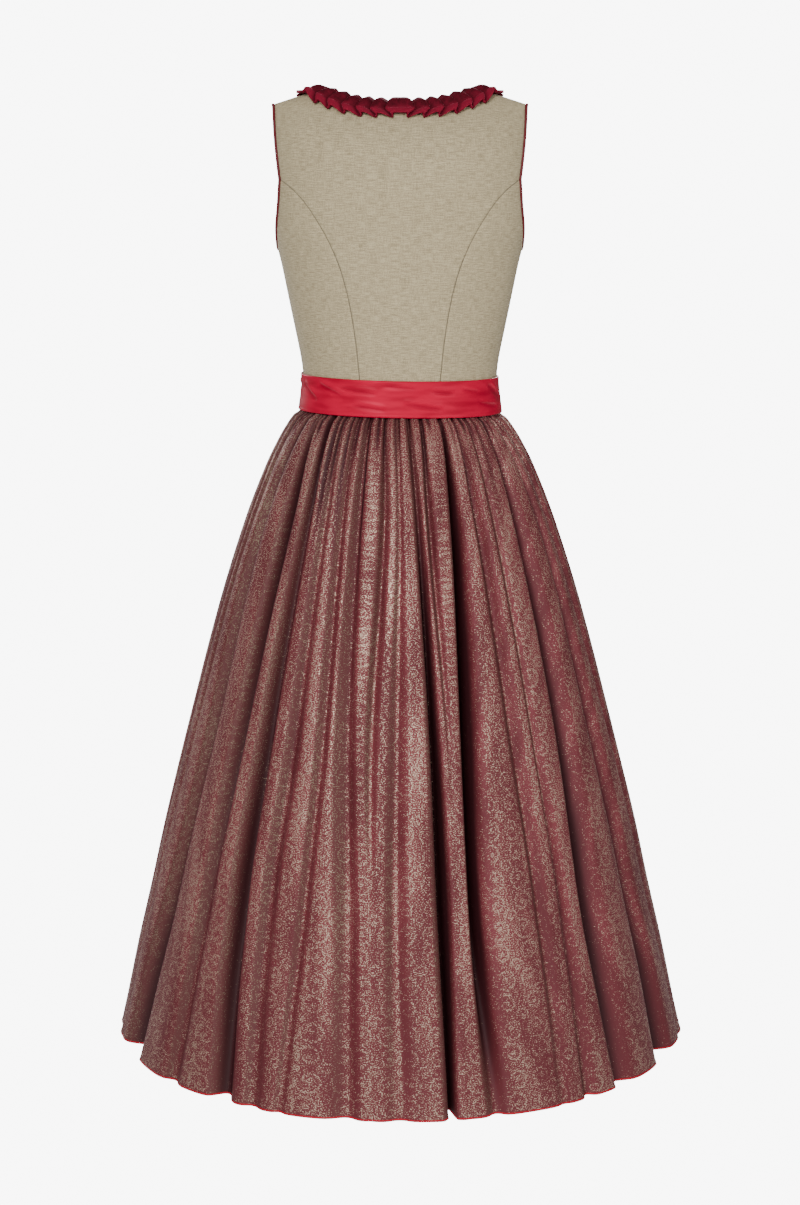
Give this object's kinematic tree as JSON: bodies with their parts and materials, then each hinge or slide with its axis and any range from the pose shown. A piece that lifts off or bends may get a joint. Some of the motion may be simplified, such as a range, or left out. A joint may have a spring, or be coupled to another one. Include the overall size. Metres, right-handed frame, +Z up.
{
  "type": "dirndl",
  "caption": "Sleeveless dirndl in worn, hollow form: panelled bodice, pleated velvet neck trim, satin waistband and full gathered jacquard skirt.",
  "frame": {"origin": "midway between the two shoulders, at the mean height of the shoulder seams, where the wearer's shoulders carry the dress", "axes": "+Z up, -Y the way the front faces, +X the wearer's left"},
  "size_m": [0.7666, 0.7543, 1.266],
  "materials": {
    "linen": "matt heathered linen weave",
    "velvet": "pile, soft sheen at glancing angles",
    "satin": "smooth, soft gloss",
    "jacquard": "wine ground with dull gold figuring",
    "piping": "matt cotton cord cover"
  },
  "bodies": {
    "root": {"bodice_back": "linen", "bodice_side_back_left": "linen", "bodice_side_front_left": "linen", "bodice_front_left": "linen", "armhole_piping_left": "piping", "bodice_side_back_right": "linen", "bodice_side_front_right": "linen", "bodice_front_right": "linen", "armhole_piping_right": "piping", "neck_ruffle": "velvet", "waistband": "satin", "skirt_back": "jacquard", "skirt_front": "jacquard", "hem_piping_back": "piping", "hem_piping_front": "piping"}
  },
  "joints": []
}
